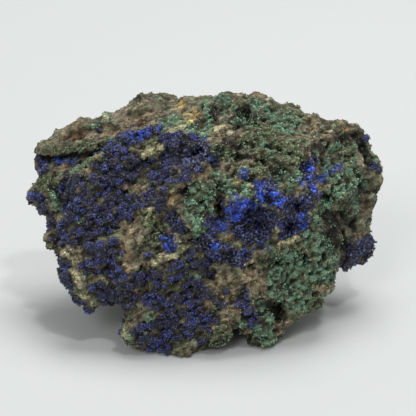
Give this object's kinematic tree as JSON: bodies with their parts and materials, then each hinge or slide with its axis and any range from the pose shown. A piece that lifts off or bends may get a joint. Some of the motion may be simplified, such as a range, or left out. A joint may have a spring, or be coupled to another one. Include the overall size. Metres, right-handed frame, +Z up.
{
  "type": "azurite and malachite specimen",
  "caption": "Rough, hand-sized lump of brown limonite with pitted, ledged faces and crusts of dark blue azurite crystals and green malachite, resting on its own feet.",
  "frame": {"origin": "middle of the bounding box's base, on the plane the specimen rests on", "axes": "+X along the longest extent, to the right as its azurite face is seen; +Y from the azurite face to the back; +Z up"},
  "size_m": [0.0882, 0.0546, 0.0527],
  "materials": {
    "limonite": "dull, earthy and pitted, brown with olive, cream and tan stains",
    "azurite": "glassy crystal points, dark blue to royal blue, powdery at the rims",
    "malachite": "matt, mossy and fibrous, pale sea green to dark green"
  },
  "bodies": {
    "root": {"limonite_matrix": "limonite", "azurite_crust_left": "azurite", "azurite_crust_hollow": "azurite", "azurite_crust_foot": "azurite", "azurite_crust_end": "azurite", "azurite_crust_back": "azurite", "malachite_crust_crown": "malachite", "malachite_crust_shoulder": "malachite", "malachite_crust_centre": "malachite", "malachite_crust_flank": "malachite", "malachite_crust_back": "malachite"}
  },
  "joints": []
}
